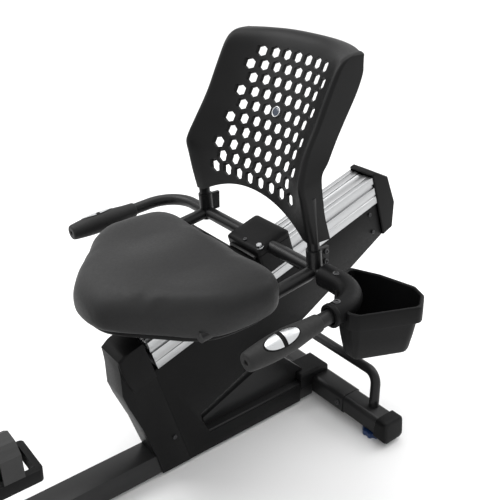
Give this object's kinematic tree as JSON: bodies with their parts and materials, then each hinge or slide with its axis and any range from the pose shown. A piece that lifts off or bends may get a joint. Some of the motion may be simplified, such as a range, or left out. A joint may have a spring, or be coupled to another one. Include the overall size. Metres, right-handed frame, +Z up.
{
  "type": "recumbent exercise bike",
  "caption": "Step-through recumbent exercise bike with a perforated backrest, a seat that slides on an inclined rail, side handles with a bin, and a belt drive.",
  "frame": {"origin": "on the floor under the middle of the centre levelling foot of the main beam", "axes": "+X towards the front of the bike, +Y to the rider's left, +Z up"},
  "size_m": [1.6118, 0.8012, 1.267],
  "materials": {
    "frame_paint": "satin powder coat",
    "black_plastic": "fine moulded texture",
    "backrest_plastic": "fine moulded texture",
    "rail_aluminium": "brushed and anodised",
    "bright_steel": "satin",
    "dark_fastener": "black oxide",
    "cushion_skin": "smooth matte skin on foam",
    "grip_rubber": "soft matte",
    "leveler_blue": "moulded",
    "badge_blue": "navy disc with a silver ring",
    "cast_iron": "machined rim",
    "belt_rubber": "ribbed",
    "screen_glass": "gloss window",
    "key_plastic": "moulded"
  },
  "bodies": {
    "base": {"main_beam": "frame_paint", "rear_stabilizer": "frame_paint", "front_stabilizer": "frame_paint", "foot_caps": "black_plastic", "lift_handle": "frame_paint", "stabilizer_cover": "black_plastic", "rear_gusset": "frame_paint", "rail_frame": "frame_paint", "rail": "rail_aluminium", "rail_housing_left": "black_plastic", "rail_housing_right": "black_plastic", "nose_cover": "black_plastic", "rail_end_cap": "black_plastic", "frame_fasteners": "dark_fastener", "drive_frame": "frame_paint", "crank_bearings": "bright_steel", "flywheel_axle": "bright_steel", "drive_belt": "belt_rubber", "brake_magnet": "cast_iron", "shroud_left": "black_plastic", "shroud_right": "black_plastic", "mast": "frame_paint", "front_handlebar": "frame_paint", "front_grips": "grip_rubber", "console_back": "black_plastic", "console_front": "black_plastic", "console_screen": "screen_glass", "power_inlet": "black_plastic"},
    "seat_carriage": {"carriage_frame": "frame_paint", "carriage_cover": "black_plastic", "seat_frame": "frame_paint", "seat_pan": "black_plastic", "seat_cushion": "cushion_skin", "backrest_shell": "backrest_plastic", "backrest_badge": "badge_blue", "grip_left": "grip_rubber", "grip_right": "grip_rubber", "pulse_plates": "bright_steel", "storage_bin": "black_plastic", "elbow_cover": "black_plastic", "seat_fasteners": "dark_fastener"},
    "roller_front": {"roller_front": "black_plastic"},
    "roller_rear": {"roller_rear": "black_plastic"},
    "lock_lever": {"lock_lever": "frame_paint"},
    "brake_shoe": {"brake_shoe": "black_plastic"},
    "crank": {"crank_axle": "bright_steel", "drive_pulley": "black_plastic", "crank_arms": "frame_paint"},
    "pedal_left": {"pedal_left": "black_plastic", "pedal_strap_left": "belt_rubber"},
    "pedal_right": {"pedal_right": "black_plastic", "pedal_strap_right": "belt_rubber"},
    "flywheel": {"flywheel": "cast_iron"},
    "idler": {"idler": "bright_steel"},
    "transport_wheels": {"transport_wheels": "belt_rubber"},
    "leveler_left": {"leveler_left": "leveler_blue"},
    "leveler_right": {"leveler_right": "leveler_blue"},
    "leveler_centre": {"leveler_centre": "leveler_blue"},
    "key_start": {"key_start": "key_plastic"},
    "key_level": {"key_level": "key_plastic"}
  },
  "joints": [
    {"name": "seat_slide", "type": "slide", "parent": "base", "child": "seat_carriage", "axis": [0.9537, 0, -0.3007], "range_m": [-0.18, 0.18]},
    {"name": "roller_front_turn", "type": "hinge", "parent": "seat_carriage", "child": "roller_front", "pos_m": [-0.47122, 0, 0.45725], "axis": [0, 1, 0], "continuous": true},
    {"name": "roller_rear_turn", "type": "hinge", "parent": "seat_carriage", "child": "roller_rear", "pos_m": [-0.53607, 0, 0.4777], "axis": [0, 1, 0], "continuous": true},
    {"name": "lever_turn", "type": "hinge", "parent": "seat_carriage", "child": "lock_lever", "pos_m": [-0.47823, -0.2, 0.43503], "axis": [0, -1, 0], "range_deg": [0, 20], "stiffness_Nm_per_rad": 2, "springref_deg": -28.65},
    {"name": "shoe_lift", "type": "slide", "parent": "seat_carriage", "child": "brake_shoe", "axis": [0.3007, 0, 0.9537], "range_m": [0, 0.003]},
    {"name": "crank_turn", "type": "hinge", "parent": "base", "child": "crank", "pos_m": [0.33, 0, 0.31], "axis": [0, 1, 0], "continuous": true},
    {"name": "pedal_left_turn", "type": "hinge", "parent": "crank", "child": "pedal_left", "pos_m": [0.165, 0.15, 0.31], "axis": [0, 1, 0], "continuous": true},
    {"name": "pedal_right_turn", "type": "hinge", "parent": "crank", "child": "pedal_right", "pos_m": [0.495, -0.15, 0.31], "axis": [0, 1, 0], "continuous": true},
    {"name": "flywheel_turn", "type": "hinge", "parent": "base", "child": "flywheel", "pos_m": [0.515, 0, 0.262], "axis": [0, 1, 0], "continuous": true},
    {"name": "idler_turn", "type": "hinge", "parent": "base", "child": "idler", "pos_m": [0.45106, 0, 0.19844], "axis": [0, 1, 0], "continuous": true},
    {"name": "transport_wheels_turn", "type": "hinge", "parent": "base", "child": "transport_wheels", "pos_m": [0.6722, 0, 0.03], "axis": [0, 1, 0], "continuous": true},
    {"name": "leveler_left_turn", "type": "hinge", "parent": "base", "child": "leveler_left", "pos_m": [-0.676, 0.222, 0.005], "axis": [0, 0, 1], "continuous": true},
    {"name": "leveler_right_turn", "type": "hinge", "parent": "base", "child": "leveler_right", "pos_m": [-0.676, -0.222, 0.005], "axis": [0, 0, 1], "continuous": true},
    {"name": "leveler_centre_turn", "type": "hinge", "parent": "base", "child": "leveler_centre", "pos_m": [0, 0, 0.005], "axis": [0, 0, 1], "continuous": true},
    {"name": "key_start_press", "type": "slide", "parent": "base", "child": "key_start", "axis": [0.866, 0, -0.5], "range_m": [0, 0.0015], "stiffness_N_per_m": 300, "springref_m": -0.002},
    {"name": "key_level_press", "type": "slide", "parent": "base", "child": "key_level", "axis": [0.866, 0, -0.5], "range_m": [0, 0.0015], "stiffness_N_per_m": 300, "springref_m": -0.002}
  ],
  "couplings": [
    {"joint": "roller_front_turn", "follows": "seat_slide", "rad_per_m": 107.53},
    {"joint": "roller_rear_turn", "follows": "seat_slide", "rad_per_m": 107.53},
    {"joint": "shoe_lift", "follows": "lever_turn", "m_per_rad": 0.008586},
    {"joint": "flywheel_turn", "follows": "crank_turn", "ratio": 5.6188},
    {"joint": "idler_turn", "follows": "crank_turn", "ratio": -8.3856}
  ]
}
